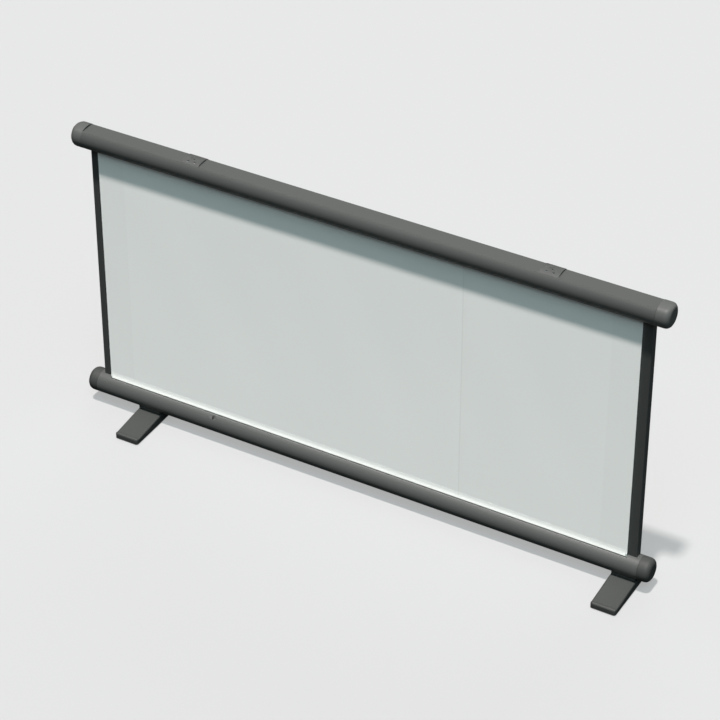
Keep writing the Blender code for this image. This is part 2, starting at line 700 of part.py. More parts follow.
def make_hem_cushion(frame, looks):
    """A rubber strip on the base tube's web, which the hem bar lands on."""
    half = FABRIC_HALF
    low = WEB_TOP + FIT
    strip = rectangle(HEM_FRONT, HEM_BACK, low, low + CUSHION_THICKNESS)
    piece("hem_cushion", prism([strip], -half, half), looks["rubber"], frame)


def make_posts(base, looks):
    """Black steel rectangular tubes from the base tube's web up into the casing."""
    half = POST_WIDTH / 2
    outside = rectangle(-half, half, POST_FRONT, POST_FRONT + POST_DEPTH)
    inside = rectangle(
        -half + POST_WALL, half - POST_WALL, POST_FRONT + POST_WALL, POST_FRONT + POST_DEPTH - POST_WALL
    )
    for side in (-1, 1):
        tube = prism([outside, inside], POST_BOTTOM, AXIS_RISE + POST_TOP, "Z")
        piece("post_" + side_name(side), tube, looks["black"], base, at=(side * POST_X, 0, 0))


def make_anchors(casing, base, looks):
    """Clamping blocks that hold the posts' ends inside the casing and the base tube."""
    front = POST_FRONT - FIT - ANCHOR_WALL
    half = POST_WIDTH / 2 + FIT + ANCHOR_WALL
    top_radius = CASING_BORE - FIT
    top = POST_TOP + FIT + ANCHOR_WALL
    back_turn = asin(top / top_radius)
    front_turn = atan2(on_circle(top_radius, front, -1), front)
    top_outline = [(front, top)] + arc(top_radius, front_turn, back_turn, step=CAP_ARC_STEP)
    base_radius = BASE_BORE - FIT
    low = WEB_TOP + FIT
    low_turn = asin(low / base_radius)
    high_turn = atan2(on_circle(base_radius, front), front)
    base_outline = [(front, low)] + arc(base_radius, low_turn, high_turn, step=CAP_ARC_STEP)
    for side in (-1, 1):
        place = (side * POST_X, 0, 0)
        top_block = piece(
            "post_anchor_top_" + side_name(side), prism([top_outline], -half, half), looks["nylon"],
            casing, at=place,
        )
        cut(top_block, post_hole(-CASING_RADIUS - OVERRUN, POST_TOP + FIT))
        hole, turn = screw_hole(CASING_RADIUS, POST_SCREW_ANGLE_TOP)
        cut(top_block, hole, turn=turn)
        base_block = piece(
            "post_anchor_base_" + side_name(side), prism([base_outline], -half, half), looks["nylon"],
            base, at=place,
        )
        cut(base_block, post_hole(-OVERRUN, BASE_RADIUS + OVERRUN))
        hole, turn = screw_hole(BASE_RADIUS, POST_SCREW_ANGLE_BASE)
        cut(base_block, hole, turn=turn)


def make_post_screws(casing, base, looks):
    """Screws through the tubes' backs into the anchors."""
    count = 0
    for side in (-1, 1):
        for frame, radius, angle in (
            (casing, CASING_RADIUS, POST_SCREW_ANGLE_TOP), (base, BASE_RADIUS, POST_SCREW_ANGLE_BASE)
        ):
            count += 1
            reach = radius + FIT
            place = (side * POST_X, reach * cos(angle), reach * sin(angle))
            screw("post_screw_%d" % count, frame, looks["black"], place, (0, -angle, pi / 2))


def saddle_outline():
    """The saddle's section: a dome that fills out the crown, with a hook under the rail behind."""
    over = CASING_CHORD + FIT
    under = RAIL_LOW - FIT
    toe = GROOVE_LOW + FIT
    back = RAIL_BACK + FIT
    front = sqrt(CASING_RADIUS ** 2 - over ** 2)
    hook = [(back, over), (back, under), (GROOVE_BACK + FIT, under), (GROOVE_BACK + FIT, toe)]
    dome = arc(CASING_RADIUS, asin(toe / CASING_RADIUS), pi - asin(over / CASING_RADIUS))
    return [(-front, over)] + hook + [(y, domed(z)) for y, z in dome[:-1]]


def make_saddles(casing, looks):
    """Two mounting saddles that slide along the casing's rail, each locked by two grub screws."""
    count = 0
    half = SADDLE_LENGTH / 2
    floor = CASING_CHORD + FIT
    grub_top = domed(on_circle(CASING_RADIUS, GRUB_Y)) - GRUB_SUNK
    spot = CASING_CHORD + DOME_RISE - SADDLE_SPOT_DEPTH
    seat = rod_profile(
        (CASING_CHORD, spot, SADDLE_THREAD_RADIUS), (spot, CASING_RADIUS + OVERRUN, SADDLE_SPOT_RADIUS)
    )
    bore = rod_profile((CASING_CHORD, CASING_RADIUS + OVERRUN, GRUB_RADIUS + FIT))
    for side, centre in (("left", SADDLE_LEFT_X), ("right", SADDLE_RIGHT_X)):
        slide = empty("saddle_%s_slide" % side, casing, (centre, 0, 0))
        saddle = piece("saddle_" + side, prism([saddle_outline()], -half, half), looks["grey"], slide)
        cut(saddle, turned(seat, "Z"))
        for place in (-GRUB_SPACING / 2, GRUB_SPACING / 2):
            count += 1
            cut(saddle, turned(bore, "Z", SCREW_STEPS), at=(place, GRUB_Y, 0))
            grub = turned(rod_profile((floor, grub_top, GRUB_RADIUS)), "Z", GRUB_STEPS)
            piece("saddle_screw_%d" % count, grub, looks["steel"], slide, at=(place, GRUB_Y, 0))


def make_catch(base, looks):
    """The sprung button that holds the hem bar: its face follows the dish, its nose points back."""
    collar_top = on_circle(BASE_BORE, CATCH_Y - CATCH_COLLAR_RADIUS) - FIT
    collar_low = collar_top - CATCH_COLLAR_HEIGHT
    slide = empty("catch_slide", base, (CATCH_X, CATCH_Y, 0))
    profile = rod_profile(
        (collar_low - CATCH_PEG_LENGTH, collar_low, CATCH_PEG_RADIUS),
        (collar_low, collar_top, CATCH_COLLAR_RADIUS),
        (collar_top, BASE_RADIUS, CATCH_RADIUS),
    )
    button = piece("catch_button", turned(profile, "Z"), looks["black"], slide)
    face_radius = BASE_RADIUS - DIMPLE_DEPTH - CATCH_SUNK
    face = prism([arc(face_radius, 0, 2 * pi)[:-1]], -CATCH_COLLAR_RADIUS, CATCH_COLLAR_RADIUS)
    cut(button, face, at=(0, -CATCH_Y, 0), operation="INTERSECT")
    half = CATCH_NOSE_WIDTH / 2
    nose_end = HEM_FRONT - FIT - CATCH_Y
    nose_low = collar_low
    nose_high = nose_low + CATCH_NOSE_HEIGHT
    nose = prism([rectangle(-half, half, 0, nose_end)], nose_low, nose_high, "Z")
    cut(button, nose, operation="UNION")
    bottom = WEB_TOP + FIT + CATCH_SPRING_WIRE
    top = collar_low - FIT - CATCH_SPRING_WIRE
    coil = helix(bottom, top, CATCH_SPRING_RADIUS, CATCH_SPRING_WIRE, CATCH_SPRING_TURNS, "Z")
    piece("catch_spring", coil, looks["steel"], base, at=(CATCH_X, CATCH_Y, 0))


def foot_section(half_width, top, dish):
    """A foot's cross-section: flat below, round shoulders, and a top that sags by the dish."""
    low = -FLOOR_DROP + PAD_STAND
    shoulder = half_width - FOOT_SHOULDER
    right = arc(FOOT_SHOULDER, 0, pi / 2, (shoulder, top - FOOT_SHOULDER), SHOULDER_STEP)
    turns = [pi / 2 * (i + 1) / SAG_STEPS for i in range(SAG_STEPS)]
    sag = [(shoulder * cos(turn), top - dish * sin(turn)) for turn in turns]
    half = [(half_width, low)] + right + sag
    return half + [(-x, z) for x, z in reversed(half[:-1])]


def foot_half_width(inset):
    """Half the foot's width at a distance in from its tip or heel, whose corners are round."""
    side = FOOT_WIDTH / 2
    short = max(0, FOOT_CORNER - inset)
    return side - FOOT_CORNER + sqrt(FOOT_CORNER ** 2 - short ** 2)


def foot_stations():
    """The foot's (place along it, top height, dish depth) from its rolled tip to its heel."""
    hub = -FLOOR_DROP + FOOT_HUB_HEIGHT
    tip = -FLOOR_DROP + FOOT_TIP_HEIGHT
    half_hub = FOOT_HUB_LENGTH / 2
    centre = (-FOOT_FRONT + FOOT_ROLL_RADIUS, tip + FOOT_ROLL_RISE - FOOT_ROLL_RADIUS)
    low_side = asin(1 - FOOT_ROLL_RISE / FOOT_ROLL_RADIUS)
    roll = arc(FOOT_ROLL_RADIUS, pi, low_side, centre, CAP_ARC_STEP)
    stations = [(y, z, 0) for y, z in roll]
    stations.append((-FOOT_FRONT + FOOT_ROLL_LENGTH, tip, FOOT_DISH_DEPTH))
    stations.append((-half_hub - FOOT_DISH_INSET, hub, FOOT_DISH_DEPTH))
    stations += [(-half_hub, hub, 0), (half_hub, hub, 0)]
    heel = arc(FOOT_CORNER, pi / 2, 0, (FOOT_REAR - FOOT_CORNER, 0), SHOULDER_STEP)
    return stations + [(y, tip, 0) for y, side in heel]


def lofted(loops):
    """A solid through a row of like outlines, closed by a face at each end."""
    mesh = bmesh.new()
    rims = [[mesh.verts.new(point) for point in loop] for loop in loops]
    for first, second in zip(rims, rims[1:]):
        for i, corner in enumerate(first):
            mesh.faces.new((first[i - 1], corner, second[i], second[i - 1]))
    mesh.faces.new(rims[0])
    mesh.faces.new(rims[-1])
    bmesh.ops.recalc_face_normals(mesh, faces=mesh.faces[:])
    return mesh


def foot_body():
    """The foot's outside, lofted through its cross-sections."""
    loops = []
    for y, top, dish in foot_stations():
        half_width = foot_half_width(min(y + FOOT_FRONT, FOOT_REAR - y))
        loops.append([(x, y, z) for x, z in foot_section(half_width, top, dish)])
    return lofted(loops)


def make_foot_arm(side, pivot, looks):
    """One cast foot arm, ribbed underneath, with its pivot bore and pad seats."""
    half = FOOT_WIDTH / 2
    floor = -FLOOR_DROP
    arm = piece("foot_arm_" + side, foot_body(), looks["grey"], pivot)
    bottom = floor + PAD_STAND
    seat_front = -FOOT_FRONT + PAD_INSET + PAD_DEPTH + FOOT_WALL
    seat_rear = FOOT_REAR - PAD_INSET - PAD_DEPTH - FOOT_WALL
    hub = BOLT_HEAD_RADIUS + FIT + FOOT_WALL
    ceiling = floor + FOOT_POCKET_CEILING
    for low_y, high_y in ((seat_front, -hub), (hub, seat_rear)):
        for low_x, high_x in ((-half + FOOT_WALL, -FOOT_RIB / 2), (FOOT_RIB / 2, half - FOOT_WALL)):
            pocket = prism([rectangle(low_x, high_x, low_y, high_y)], bottom - OVERRUN, ceiling, "Z")
            cut(arm, pocket)
    head_top = bottom + BOLT_HEAD_HEIGHT + FIT
    bore = rod_profile(
        (bottom - OVERRUN, head_top, BOLT_HEAD_RADIUS + FIT), (head_top, OVERRUN, BOLT_RADIUS + FIT)
    )
    cut(arm, turned(bore, "Z"))
    for place in (-FOOT_FRONT + PAD_INSET, FOOT_REAR - PAD_INSET - PAD_DEPTH):
        seat = pad_outline(place, FIT)
        cut(arm, prism([seat], bottom - OVERRUN, bottom + PAD_SEAT, "Z"))


def pad_outline(start, margin=0):
    """A foot pad's plan, from its front edge, with an even margin round it."""
    half = PAD_WIDTH / 2 + margin
    low = start - margin
    high = start + PAD_DEPTH + margin
    return rounded_rectangle(-half, half, low, high, PAD_CORNER + margin)


def block_section(low, top, neck_top):
    """The foot block's section: a bar under the tube with a neck up through the channel's mouth."""
    half = BASE_CHANNEL_HALF
    neck = BASE_CHANNEL_HALF - BASE_LIP_REACH - FIT
    return [
        (-half, low), (half, low), (half, top), (neck, top),
        (neck, neck_top), (-neck, neck_top), (-neck, top), (-half, top),
    ]


def make_foot(side, centre, base, looks):
    """A foot with its block and nut in the base tube's channel, its pivot bolt, washer and pads."""
    slide = empty("foot_%s_slide" % side, base, (centre, 0, 0))
    pivot = empty("foot_%s_pivot" % side, slide)
    make_foot_arm(side, pivot, looks)
    floor = -FLOOR_DROP
    block_top = -BASE_CHORD - FIT
    block_low = block_top - BLOCK_HEIGHT
    nut_top = -BASE_FLOOR - FIT
    nut_low = -BASE_CHORD + BASE_LIP + FIT
    half = BLOCK_LENGTH / 2
    section = block_section(block_low, block_top, nut_low - FIT)
    block = piece("foot_block_" + side, prism([section], -half, half), looks["black"], slide)
    bore = rod_profile((block_low - OVERRUN, nut_top + OVERRUN, BOLT_RADIUS + FIT))
    cut(block, turned(bore, "Z"))
    half = NUT_LENGTH / 2
    flange = BASE_CHANNEL_HALF - FIT
    plate = prism([rectangle(-flange, flange, nut_low, nut_top)], -half, half)
    nut = piece("foot_nut_" + side, plate, looks["steel"], slide)
    cut(nut, turned(bore, "Z"))
    low = floor + FOOT_HUB_HEIGHT + FIT
    washer = ring_profile(low, low + WASHER_THICKNESS, BOLT_RADIUS + FIT, WASHER_RADIUS)
    washer = turned(washer, "Z", ROLLER_STEPS, ring=True)
    piece("foot_washer_" + side, washer, looks["nylon"], slide)
    head_low = floor + PAD_STAND
    head_top = head_low + BOLT_HEAD_HEIGHT
    shank = rod_profile((head_low, head_top, BOLT_HEAD_RADIUS), (head_top, nut_top - FIT, BOLT_RADIUS))
    bolt = piece("foot_bolt_" + side, turned(shank, "Z"), looks["steel"], slide)
    socket = rod_profile((head_low - OVERRUN, head_low + BOLT_HEAD_HEIGHT / 2, BOLT_SOCKET_RADIUS))
    cut(bolt, turned(socket, "Z", HEX_SIDES))
    pads = (("front", -FOOT_FRONT + PAD_INSET), ("rear", FOOT_REAR - PAD_INSET - PAD_DEPTH))
    for end, place in pads:
        pad = prism([pad_outline(place)], floor, floor + PAD_STAND + PAD_SEAT - FIT, "Z")
        piece("foot_pad_%s_%s" % (side, end), pad, looks["rubber"], pivot)


def finishes():
    return {
        "grey": material("satin_grey_enamel", (0.115, 0.115, 0.108), 0.45),
        "black": material("black_powder_coat", (0.022, 0.023, 0.024), 0.5),
        "fabric": material("matt_white_sheet", (0.60, 0.64, 0.62), 0.9),
        "white": material("white_enamel", (0.80, 0.80, 0.78), 0.4),
        "steel": material("zinc_plated_steel", (0.55, 0.55, 0.56), 0.35, 1.0),
        "aluminium": material("mill_aluminium", (0.70, 0.70, 0.71), 0.4, 1.0),
        "nylon": material("natural_nylon", (0.65, 0.63, 0.57), 0.5),
        "rubber": material("black_rubber", (0.015, 0.015, 0.015), 0.85),
    }


def main():
    clear_scene()
    looks = finishes()
    base = empty("base_axis", None, (0, TUBE_Y, FLOOR_DROP))
    casing = empty("casing_axis", base, (0, 0, AXIS_RISE))
    roller = empty("roller_axis", casing)
    hem = empty("screen_slide", base)
    make_casing(casing, looks)
    tongue = CASING_CEILING - FIT - TONGUE_THICKNESS
    for side in (-1, 1):
        make_cap(
            "casing_cap_" + side_name(side), casing, looks["grey"], CASING_RADIUS, CAP_LENGTH, side,
            tongue, tongue + FIT, CASING_RADIUS, domed,
        )
        make_cap(
            "base_cap_" + side_name(side), base, looks["grey"], BASE_RADIUS, BASE_CAP_LENGTH, side,
            WEB_TOP + FIT, -BASE_RADIUS, -BASE_CEILING,
        )
        make_end_plate(side, casing, looks)
    make_end_plate_screws(casing, looks)
    make_roller(roller, looks)
    make_idle_bush(casing, looks)
    make_mandrel(casing, looks)
    make_roller_spring(casing, looks)
    make_fabric(casing, looks)
    make_base_tube(base, looks)
    make_hem(hem, looks)
    make_hem_cushion(base, looks)
    make_posts(base, looks)
    make_anchors(casing, base, looks)
    make_post_screws(casing, base, looks)
    make_saddles(casing, looks)
    make_catch(base, looks)
    make_foot("left", FOOT_LEFT_X, base, looks)
    make_foot("right", FOOT_RIGHT_X, base, looks)


main()
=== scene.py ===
"""Free-standing roll-down projector screen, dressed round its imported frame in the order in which
the real one is put together. X runs along the tubes, Y from front to back, Z up, in metres."""

from math import ceil, cos, pi, radians, sin

import bmesh
import bpy
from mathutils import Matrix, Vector


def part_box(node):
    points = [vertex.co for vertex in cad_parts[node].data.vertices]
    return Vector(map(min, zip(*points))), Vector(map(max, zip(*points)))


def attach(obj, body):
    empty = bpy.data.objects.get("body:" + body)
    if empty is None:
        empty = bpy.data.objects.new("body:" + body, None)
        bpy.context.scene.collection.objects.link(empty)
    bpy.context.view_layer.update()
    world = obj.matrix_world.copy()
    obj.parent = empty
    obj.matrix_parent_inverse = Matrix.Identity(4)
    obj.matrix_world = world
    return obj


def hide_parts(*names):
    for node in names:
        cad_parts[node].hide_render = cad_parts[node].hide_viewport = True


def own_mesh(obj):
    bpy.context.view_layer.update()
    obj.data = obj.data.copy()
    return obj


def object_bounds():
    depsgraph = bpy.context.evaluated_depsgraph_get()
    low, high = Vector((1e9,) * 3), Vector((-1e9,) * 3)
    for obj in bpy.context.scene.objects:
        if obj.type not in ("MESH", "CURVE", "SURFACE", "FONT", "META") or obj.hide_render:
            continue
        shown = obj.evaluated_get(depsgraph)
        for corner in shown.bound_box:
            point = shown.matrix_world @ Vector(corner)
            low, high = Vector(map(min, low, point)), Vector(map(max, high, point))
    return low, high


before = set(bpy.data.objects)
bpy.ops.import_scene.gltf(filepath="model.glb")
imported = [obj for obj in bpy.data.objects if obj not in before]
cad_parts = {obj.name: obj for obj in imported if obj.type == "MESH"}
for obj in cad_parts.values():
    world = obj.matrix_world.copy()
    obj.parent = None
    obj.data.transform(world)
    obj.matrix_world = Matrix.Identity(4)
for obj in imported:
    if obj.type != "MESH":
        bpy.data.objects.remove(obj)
cad_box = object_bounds()

# The casing is a tube of extruded aluminium, slit below for the sheet and flat on its crown.
# It is coated in a dark grey satin enamel, in which the die's drawing lines still show faintly.
MM = 0.001
DRAW_LINE = 1.5 * MM
DRAW_LENGTH = 400 * MM
DRAWN = (DRAW_LINE / DRAW_LENGTH, 1, 1)
ENAMEL_SPECULAR = 0.3
GRAIN_DETAIL = 3.0
WELD_GAP = 0.001 * MM
FLAT_ANGLE = radians(0.3)
SHARP_ANGLE = radians(38)
SOFT_EDGE = 0.3 * MM
EDGE_SEGMENTS = 2
FACE_WEIGHT = 100


def linear(hex_colour):
    """An sRGB hex colour as the linear colour that a shader takes, by the standard's own curve."""
    shares = [int(hex_colour[i:i + 2], 16) / 255 for i in (1, 3, 5)]
    return [c / 12.92 if c <= 0.04045 else ((c + 0.055) / 1.055) ** 2.4 for c in shares] + [1]


def shaded(colour, share):
    """A linear colour made darker or lighter by a share."""
    return [c * share for c in colour[:3]] + [1]


def finish(name, colour, roughness, metallic=0.0, specular=0.5):
    """A new material with a surface shader."""
    look = bpy.data.materials.new(name)
    look.use_nodes = True
    shader = look.node_tree.nodes["Principled BSDF"]
    shader.inputs["Base Color"].default_value = linear(colour)
    shader.inputs["Roughness"].default_value = roughness
    shader.inputs["Metallic"].default_value = metallic
    shader.inputs["Specular IOR Level"].default_value = specular
    return look, shader


def add(look, kind, sockets=None, **settings):
    """Adds a node to a material or world with its settings, and a value or an output per socket."""
    node = look.node_tree.nodes.new("ShaderNode" + kind)
    for name, value in settings.items():
        setattr(node, name, value)
    for name, value in (sockets or {}).items():
        if isinstance(value, bpy.types.NodeSocket):
            look.node_tree.links.new(value, node.inputs[name])
        else:
            node.inputs[name].default_value = value
    return node


def join(look, output, socket):
    """Leads a node's output to a shader's socket."""
    look.node_tree.links.new(output, socket)


def grain(look, shader, size, tone, gloss, height, stretch=(1, 1, 1)):
    """Mottles a finish at a real size: by a share of its tone, in its roughness and in height."""
    base = shader.inputs["Base Color"].default_value
    rough = shader.inputs["Roughness"].default_value
    place = add(look, "TexCoord")
    scaled = add(look, "Mapping", {"Vector": place.outputs["Object"], "Scale": stretch})
    cloud = add(look, "TexNoise", {
        "Vector": scaled.outputs["Vector"], "Scale": 1 / size, "Detail": GRAIN_DETAIL,
    })
    toned = add(look, "Mix", {
        "Factor": cloud.outputs["Fac"], "A": shaded(base, 1 - tone), "B": shaded(base, 1 + tone),
    }, data_type="RGBA")
    join(look, toned.outputs["Result"], shader.inputs["Base Color"])
    glossed = add(look, "MapRange", {
        "Value": cloud.outputs["Fac"], "To Min": rough - gloss, "To Max": rough + gloss,
    })
    join(look, glossed.outputs["Result"], shader.inputs["Roughness"])
    bump = add(look, "Bump", {"Height": cloud.outputs["Fac"], "Strength": 1.0, "Distance": height})
    join(look, bump.outputs["Normal"], shader.inputs["Normal"])


def dress(node, look, edge=SOFT_EDGE):
    """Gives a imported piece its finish, eases its sharp edges and smooths its round faces."""
    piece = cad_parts[node]
    piece.data.materials.clear()
    piece.data.materials.append(look)
    piece.data.shade_smooth()
    piece.modifiers.new("weld", "WELD").merge_threshold = WELD_GAP
    flats = piece.modifiers.new("flats", "DECIMATE")
    flats.decimate_type = "DISSOLVE"
    flats.angle_limit = FLAT_ANGLE
    if edge:
        ease = piece.modifiers.new("edges", "BEVEL")
        ease.width = edge
        ease.segments = EDGE_SEGMENTS
        ease.limit_method = "ANGLE"
        ease.angle_limit = SHARP_ANGLE
    piece.modifiers.new("shade", "WEIGHTED_NORMAL").weight = FACE_WEIGHT


enamel_on_extrusion, shader = finish(
    "satin_enamel_on_extruded_aluminium", "#464948", roughness=0.5, specular=ENAMEL_SPECULAR
)
grain(enamel_on_extrusion, shader, DRAW_LINE, tone=0.05, gloss=0.04, height=0.004 * MM, stretch=DRAWN)
dress("casing", enamel_on_extrusion)

# The casing's two caps are die-cast and coated with the tube. The casting's skin is a little
# rougher than the extrusion's, so it scatters the light more and looks a shade paler.
CAST_SKIN = 2.4 * MM
CAST_HEIGHT = 0.012 * MM
enamel_on_casting, shader = finish(
    "satin_enamel_on_cast_aluminium", "#4C4F4E", roughness=0.54, specular=ENAMEL_SPECULAR
)
grain(enamel_on_casting, shader, CAST_SKIN, tone=0.04, gloss=0.04, height=CAST_HEIGHT)
for cap in ("casing_cap_left", "casing_cap_right"):
    dress(cap, enamel_on_casting)

# End plates of zinc-plated steel close the casing inside the caps, each held by two pan-head
# screws with cross recesses. The plating is bright and bluish, clouded by its passivation.
ZINC_CLOUD = 5 * MM
zinc_plated_steel, shader = finish("zinc_plated_steel", "#B4B9BE", roughness=0.34, metallic=1.0)
grain(zinc_plated_steel, shader, ZINC_CLOUD, tone=0.06, gloss=0.06, height=0.002 * MM)
for plate in ("end_plate_left", "end_plate_right"):
    dress(plate, zinc_plated_steel)
CROSS_REACH = 1.3 * MM
CROSS_HALF_WIDTH = 0.32 * MM
CROSS_DEPTH = 0.9 * MM
RECESS_STEPS = 48
NEAR_ZERO = 0.01
PAN_SCREW = [
    (-7.5 * MM, 1.1 * MM), (-7.0 * MM, 1.5 * MM), (0, 1.5 * MM), (0, 2.4 * MM), (0.1 * MM, 2.5 * MM),
    (0.6 * MM, 2.5 * MM), (1.1 * MM, 2.25 * MM), (1.4 * MM, 1.9 * MM), (1.6 * MM, 1.45 * MM),
]


def skin(name, loops, look, body, smooth=SHARP_ANGLE):
    """A closed piece skinned over a row of like loops, shaded smooth up to an angle."""
    mesh = bmesh.new()
    rims = [[mesh.verts.new(point) for point in loop] for loop in loops]
    for first, second in zip(rims, rims[1:]):
        for i in range(len(first)):
            mesh.faces.new((first[i - 1], first[i], second[i], second[i - 1]))
    mesh.faces.new(rims[0])
    mesh.faces.new(rims[-1])
    bmesh.ops.recalc_face_normals(mesh, faces=mesh.faces[:])
    data = bpy.data.meshes.new(name)
    mesh.to_mesh(data)
    mesh.free()
    data.materials.append(look)
    data.shade_smooth()
    data.set_sharp_from_angle(angle=smooth)
    piece = bpy.data.objects.new(name, data)
    bpy.context.collection.objects.link(piece)
    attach(piece, body)
    return piece


def cross_recess(turn):
    """How far a cross recess reaches from a screw's axis, at an angle round it."""
    off = (turn + pi / 4) % (pi / 2) - pi / 4
    return min(CROSS_REACH / cos(off), CROSS_HALF_WIDTH / max(abs(sin(off)), NEAR_ZERO))


def driven(name, origin, along, profile, recess, depth, look, body):
    """A turned screw from (height, radius) points, with a recess for its driver sunk in its top."""
    across = Vector((0, 1, 0)) if along.x else Vector((1, 0, 0))
    beside = along.cross(across)
    turns = [2 * pi * i / RECESS_STEPS for i in range(RECESS_STEPS)]
    rows = [[(height, radius)] * RECESS_STEPS for height, radius in profile]
    top = profile[-1][0]
    rows += [[(height, recess(turn)) for turn in turns] for height in (top, top - depth)]
    loops = []
    for row in rows:
        loops.append([
            origin + along * height + (across * cos(turn) + beside * sin(turn)) * radius
            for (height, radius), turn in zip(row, turns)
        ])
    return skin(name, loops, look, body)


for number in range(1, 5):
    node = "end_plate_screw_%d" % number
    low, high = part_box(node)
    centre = (low + high) / 2
    side = 1 if centre.x > 0 else -1
    tip = low.x if side > 0 else high.x
    under_head = Vector((tip - side * PAN_SCREW[0][0], centre.y, centre.z))
    pan = driven(
        "plate_screw_%d" % number, under_head, Vector((side, 0, 0)), PAN_SCREW, cross_recess,
        CROSS_DEPTH, zinc_plated_steel, "frame",
    )
    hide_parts(node)

# The roller is a drawn aluminium tube on a fixed steel mandrel, with a torsion spring inside.
# The tube keeps its mill finish, bright and faintly streaked; plugs and bushes are moulded in
# natural nylon, which is milky and soft.
FINE_EDGE = 0.2 * MM
NYLON_CLOUD = 4 * MM
mill_aluminium, shader = finish("drawn_aluminium", "#C4C6C7", roughness=0.38, metallic=1.0)
grain(mill_aluminium, shader, DRAW_LINE, tone=0.04, gloss=0.05, height=0.003 * MM, stretch=DRAWN)
moulded_nylon, shader = finish("moulded_nylon", "#D6D2C4", roughness=0.5)
shader.inputs["Subsurface Weight"].default_value = 0.15
shader.inputs["Subsurface Scale"].default_value = 1.5 * MM
grain(moulded_nylon, shader, NYLON_CLOUD, tone=0.02, gloss=0.04, height=0.004 * MM)
dress("roller_tube", mill_aluminium, FINE_EDGE)
for node in ("idle_plug", "idle_bush", "roller_bush", "spring_driver"):
    dress(node, moulded_nylon, FINE_EDGE)
dress("mandrel", zinc_plated_steel, FINE_EDGE)
SPRING_WIRE = 0.8 * MM
SPRING_TURNS = 48
SPRING_STEPS = 20
WIRE_SIDES = 8
WIRE_ANGLE = radians(60)
ALONG_X = 0


def coil(name, node, axis, wire, turns, steps):
    """A coiled steel wire in place of a packed spring, from the wire's radius; axis 2 is Z."""
    low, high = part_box(node)
    centre = (low + high) / 2
    across, beside = (axis + 1) % 3, (axis + 2) % 3
    radius = (high[beside] - low[beside]) / 2 - wire
    start, end = low[axis] + wire, high[axis] - wire
    count = turns * steps
    loops = []
    for i in range(count + 1):
        turn = 2 * pi * i / steps
        place = start + (end - start) * i / count
        loop = []
        for side in range(WIRE_SIDES):
            around = 2 * pi * side / WIRE_SIDES
            out = radius + wire * cos(around)
            point = [0, 0, 0]
            point[axis] = place + wire * sin(around)
            point[across] = centre[across] + out * cos(turn)
            point[beside] = centre[beside] + out * sin(turn)
            loop.append(point)
        loops.append(loop)
    wound = skin(name, loops, zinc_plated_steel, "frame", WIRE_ANGLE)
    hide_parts(node)
    return wound


coil("torsion_spring", "roller_spring", ALONG_X, SPRING_WIRE, SPRING_TURNS, SPRING_STEPS)

# The sheet is matt white coated cloth, stretched by the hem bar and welded from two widths, with
# a band along each side. Its weave is far finer than a pixel, so it is drawn coarse and faint.
CLOTH_WHITE = "#F2F7F5"
THREAD = 2.5 * MM
THREAD_HEIGHT = 0.02 * MM
SEAM_X = 262 * MM
SEAM_HALF = 1.6 * MM
SEAM_LIP = 0.8 * MM
SEAM_DEPTH = 0.12 * MM
SEAM_TONE = 0.94
BAND_LEFT_X = -620 * MM
BAND_RIGHT_X = 619 * MM
BAND_TONE = 0.98
cloth, shader = finish("matt_coated_cloth", CLOTH_WHITE, roughness=0.85)
shader.inputs["Sheen Weight"].default_value = 0.1
place = add(cloth, "TexCoord")
apart = add(cloth, "SeparateXYZ", {"Vector": place.outputs["Object"]})
threads = {"Vector": place.outputs["Object"], "Scale": 1 / THREAD}
warp = add(cloth, "TexWave", threads, bands_direction="X")
weft = add(cloth, "TexWave", threads, bands_direction="Z")
weave = add(cloth, "Math", {0: warp.outputs["Fac"], 1: weft.outputs["Fac"]}, operation="MULTIPLY")
bump = add(cloth, "Bump", {"Height": weave.outputs[0], "Distance": THREAD_HEIGHT, "Strength": 0.5})
join(cloth, bump.outputs["Normal"], shader.inputs["Normal"])
seam = add(cloth, "Math", {0: apart.outputs["X"], 1: SEAM_X, 2: SEAM_HALF}, operation="COMPARE")
left_band = add(cloth, "Math", {0: apart.outputs["X"], 1: BAND_LEFT_X}, operation="LESS_THAN")
right_band = add(cloth, "Math", {0: apart.outputs["X"], 1: BAND_RIGHT_X}, operation="GREATER_THAN")
bands = add(cloth, "Math", {0: left_band.outputs[0], 1: right_band.outputs[0]}, operation="ADD")
white = linear(CLOTH_WHITE)
banded = add(cloth, "Mix", {
    "Factor": bands.outputs[0], "A": white, "B": shaded(white, BAND_TONE),
}, data_type="RGBA")
seamed = add(cloth, "Mix", {
    "Factor": seam.outputs[0], "A": banded.outputs["Result"], "B": shaded(white, SEAM_TONE),
}, data_type="RGBA")
join(cloth, seamed.outputs["Result"], shader.inputs["Base Color"])
SHEET_COLUMNS = 60
SHEET_ROWS = 30
WAVE_HEIGHT = 0.35 * MM
WAVE_LENGTH = 410 * MM
RIPPLE_SHARE = 0.5
RIPPLE_SLANT = 0.4
RIPPLE_PHASE = 1


def wave(x, z, share):
    """How far the cloth lies back at a place: none at its ends, and never forward."""
    swell = sin(2 * pi * x / WAVE_LENGTH)
    ripple = RIPPLE_SHARE * sin(4 * pi * (x + RIPPLE_SLANT * z) / WAVE_LENGTH + RIPPLE_PHASE)
    return WAVE_HEIGHT * sin(pi * share) ** 2 * (1 + RIPPLE_SHARE + swell + ripple)


